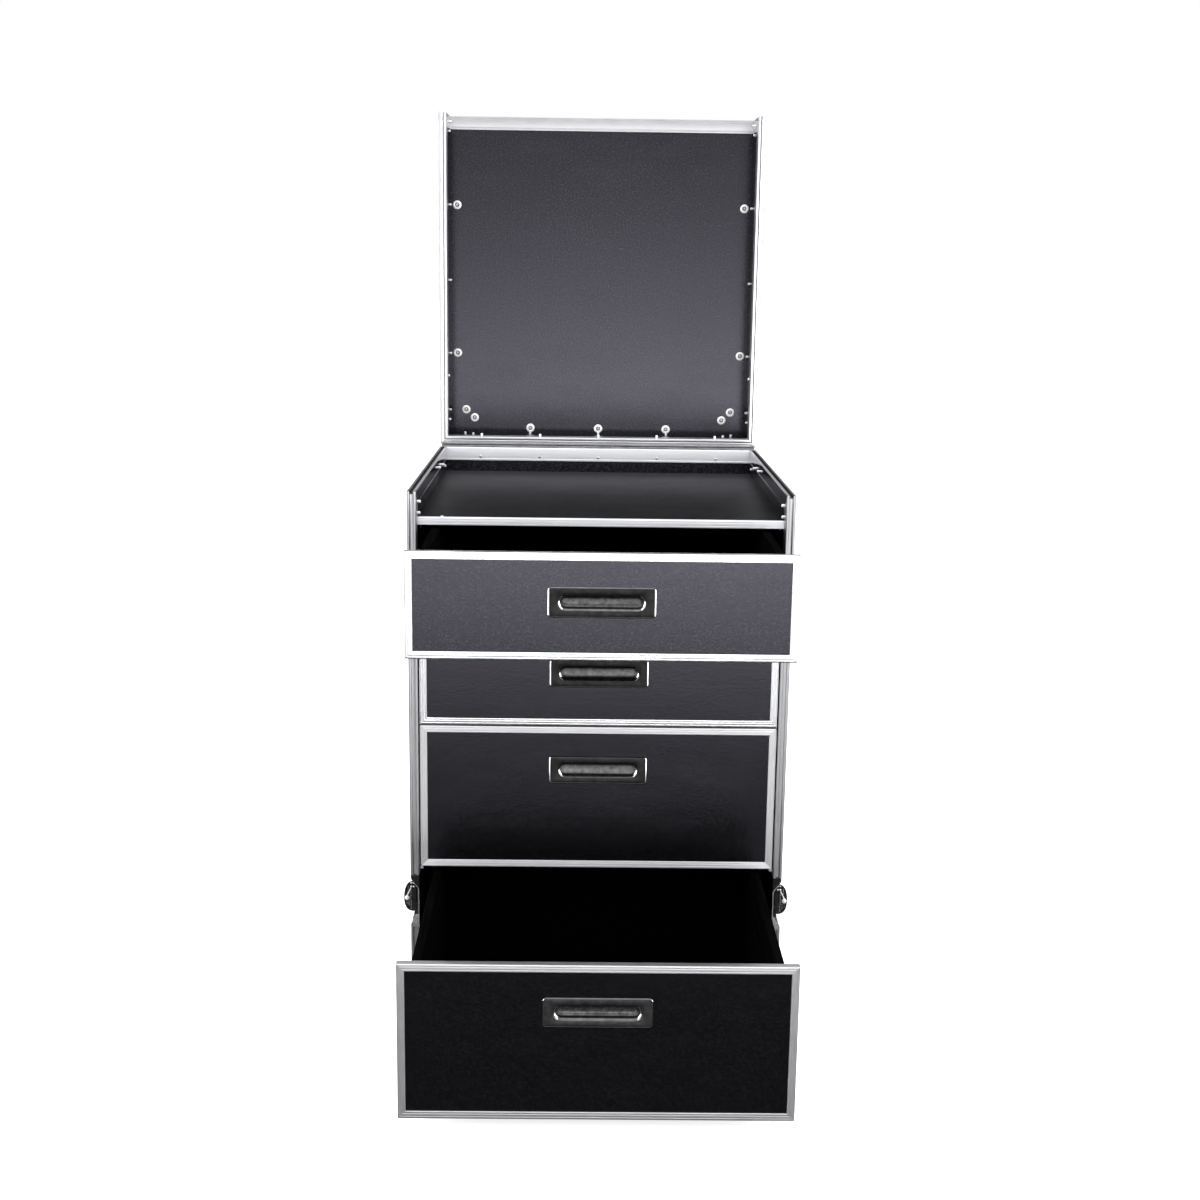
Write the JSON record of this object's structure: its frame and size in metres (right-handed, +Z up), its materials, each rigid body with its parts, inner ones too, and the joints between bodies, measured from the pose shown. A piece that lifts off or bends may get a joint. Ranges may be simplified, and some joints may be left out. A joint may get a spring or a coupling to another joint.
{
  "type": "production case",
  "caption": "Upright road case with drawers on telescopic runners under a table top, a hinged lid that swings up, edge rails and butterfly latches.",
  "frame": {"origin": "centre of the underside of the base board", "axes": "+Z up; the drawer fronts face -Y; +X is to the right seen from the front"},
  "size_m": [0.628, 1.0863, 1.4795],
  "materials": {
    "board_laminate": "plywood faced with a black fine-grained satin laminate",
    "drawer_box_board": "plywood painted matt black",
    "rail_aluminium": "satin anodised extrusion",
    "trim_aluminium": "satin anodised ridged edging",
    "pull_chrome": "polished dark chrome pressing",
    "runner_zinc": "zinc plated rolled steel",
    "hinge_zinc": "zinc plated strip",
    "corner_steel": "bright plated pressing",
    "latch_dish_steel": "bright plated pressing",
    "latch_steel": "plated steel, handled and slightly dulled"
  },
  "bodies": {
    "root": {"left_side_panel": "board_laminate", "right_side_panel": "board_laminate", "rear_panel": "board_laminate", "base_panel": "board_laminate", "table_panel": "board_laminate", "table_front_trim": "rail_aluminium", "rim_rail": "rail_aluminium", "front_rail_left": "rail_aluminium", "front_rail_right": "rail_aluminium", "front_rail_lower": "rail_aluminium", "edge_angle_frame": "rail_aluminium", "hinge_leaf_body": "hinge_zinc", "base_ball_corner_left": "corner_steel", "base_ball_corner_right": "corner_steel", "latch_dish_left": "latch_dish_steel", "latch_dish_right": "latch_dish_steel", "runner_1_left": "runner_zinc", "runner_1_right": "runner_zinc", "runner_2_left": "runner_zinc", "runner_2_right": "runner_zinc", "runner_3_left": "runner_zinc", "runner_3_right": "runner_zinc", "runner_4_left": "runner_zinc", "runner_4_right": "runner_zinc"},
    "lid": {"lid_panel": "board_laminate", "lid_walls": "board_laminate", "lid_rim_rail": "rail_aluminium", "lid_front_rail": "rail_aluminium", "lid_edge_angles": "rail_aluminium", "lid_ball_corner_left": "corner_steel", "lid_ball_corner_right": "corner_steel", "hinge_leaf_lid": "hinge_zinc"},
    "drawer_1": {"drawer_1_front_panel": "board_laminate", "drawer_1_front_trim": "trim_aluminium", "drawer_1_box": "drawer_box_board", "drawer_1_handle": "pull_chrome", "drawer_1_runner_left": "runner_zinc", "drawer_1_runner_right": "runner_zinc"},
    "drawer_2": {"drawer_2_front_panel": "board_laminate", "drawer_2_front_trim": "trim_aluminium", "drawer_2_box": "drawer_box_board", "drawer_2_handle": "pull_chrome", "drawer_2_runner_left": "runner_zinc", "drawer_2_runner_right": "runner_zinc"},
    "drawer_3": {"drawer_3_front_panel": "board_laminate", "drawer_3_front_trim": "trim_aluminium", "drawer_3_box": "drawer_box_board", "drawer_3_handle": "pull_chrome", "drawer_3_runner_left": "runner_zinc", "drawer_3_runner_right": "runner_zinc"},
    "drawer_4": {"drawer_4_front_panel": "board_laminate", "drawer_4_front_trim": "trim_aluminium", "drawer_4_box": "drawer_box_board", "drawer_4_handle": "pull_chrome", "drawer_4_runner_left": "runner_zinc", "drawer_4_runner_right": "runner_zinc"},
    "latch_left": {"latch_turn_left": "latch_steel"},
    "latch_left_wing": {"latch_wing_left": "latch_steel"},
    "latch_right": {"latch_turn_right": "latch_steel"},
    "latch_right_wing": {"latch_wing_right": "latch_steel"}
  },
  "joints": [
    {"name": "lid_hinge", "type": "hinge", "parent": "root", "child": "lid", "pos_m": [0, 0.3068, 0.86615], "axis": [1, 0, 0], "range_deg": [0, 90]},
    {"name": "drawer_1_slide", "type": "slide", "parent": "root", "child": "drawer_1", "axis": [0, -1, 0], "range_m": [-0.2105, 0.1645]},
    {"name": "drawer_2_slide", "type": "slide", "parent": "root", "child": "drawer_2", "axis": [0, -1, 0], "range_m": [0, 0.375]},
    {"name": "drawer_3_slide", "type": "slide", "parent": "root", "child": "drawer_3", "axis": [0, -1, 0], "range_m": [0, 0.375]},
    {"name": "drawer_4_slide", "type": "slide", "parent": "root", "child": "drawer_4", "axis": [0, -1, 0], "range_m": [-0.366, 0.009]},
    {"name": "latch_left_turn", "type": "hinge", "parent": "root", "child": "latch_left", "pos_m": [-0.2875, -0.275, 0.197], "axis": [1, 0, 0], "range_deg": [0, 90]},
    {"name": "latch_left_wing_fold", "type": "hinge", "parent": "latch_left", "child": "latch_left_wing", "pos_m": [-0.2945, -0.275, 0.197], "axis": [0, 0, 1], "range_deg": [-90, 0]},
    {"name": "latch_right_turn", "type": "hinge", "parent": "root", "child": "latch_right", "pos_m": [0.2875, -0.275, 0.197], "axis": [1, 0, 0], "range_deg": [0, 90]},
    {"name": "latch_right_wing_fold", "type": "hinge", "parent": "latch_right", "child": "latch_right_wing", "pos_m": [0.2945, -0.275, 0.197], "axis": [0, 0, 1], "range_deg": [0, 90]}
  ]
}
